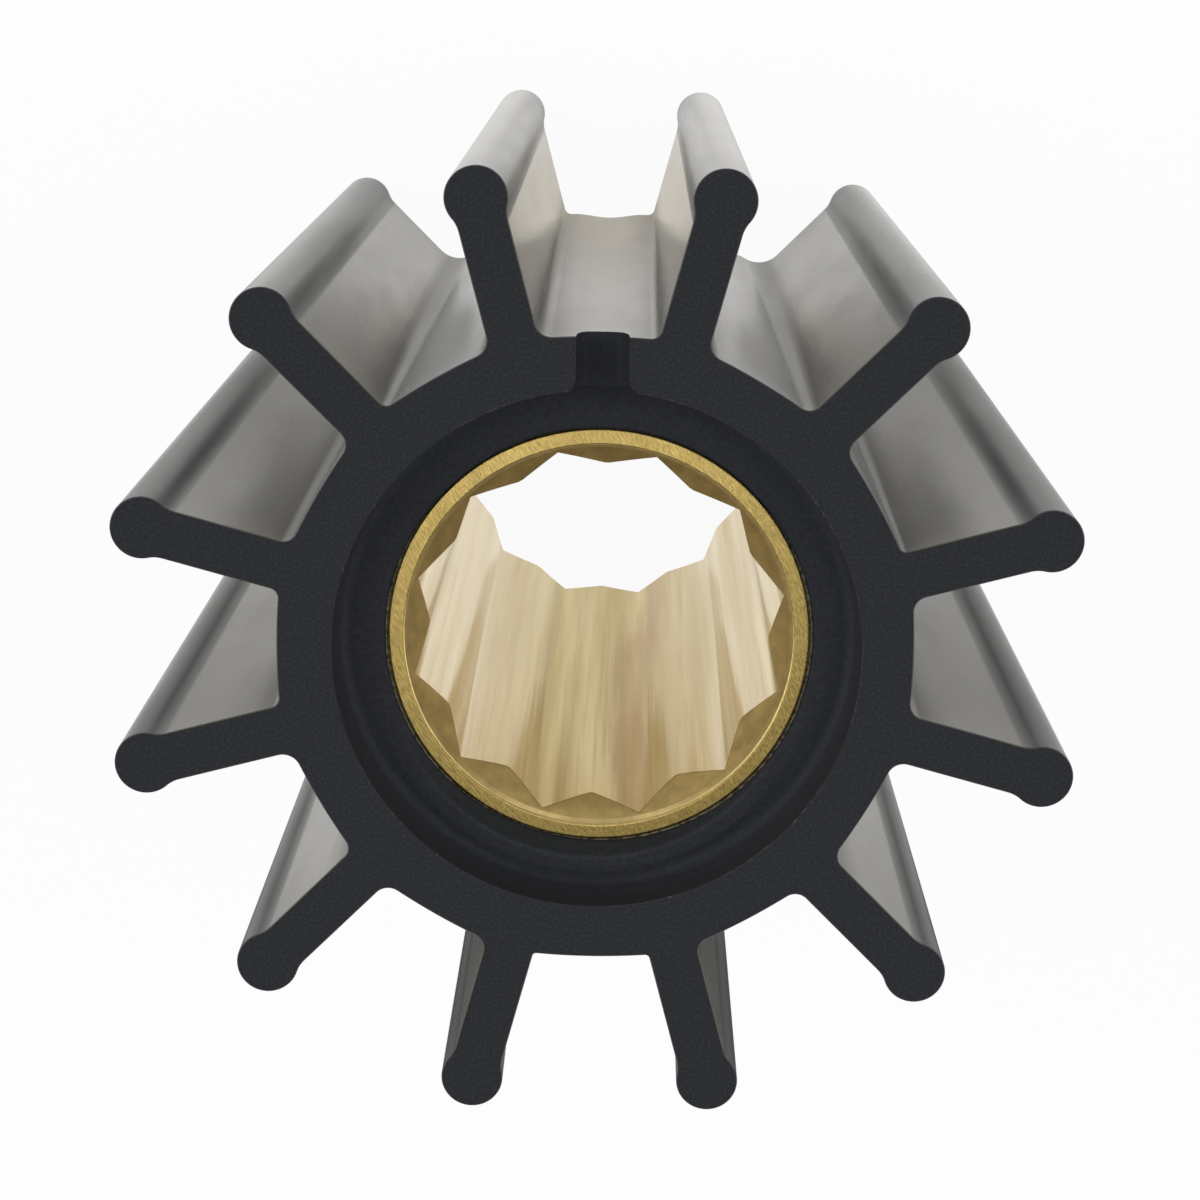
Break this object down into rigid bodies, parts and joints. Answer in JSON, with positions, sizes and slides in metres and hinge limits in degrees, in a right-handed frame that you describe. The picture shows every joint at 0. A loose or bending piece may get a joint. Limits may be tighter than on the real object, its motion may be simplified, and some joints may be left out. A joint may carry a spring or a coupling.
{
  "type": "flexible pump impeller",
  "caption": "Flexible rubber pump impeller with round-tipped straight blades, moulded on a brass bush with a V-grooved spline bore.",
  "frame": {"origin": "on the shaft axis, in the plane of the back end face", "axes": "+Z along the shaft axis toward the front end, which has the slot; +Y through the slot, midway between two blades"},
  "size_m": [0.063, 0.063, 0.08],
  "materials": {
    "rubber": "matt black on the cut end faces, satin on the moulded sides",
    "brass": "turned end face with fine sanding marks, broached bore"
  },
  "bodies": {
    "root": {"impeller": "rubber", "bush": "brass"}
  },
  "joints": []
}
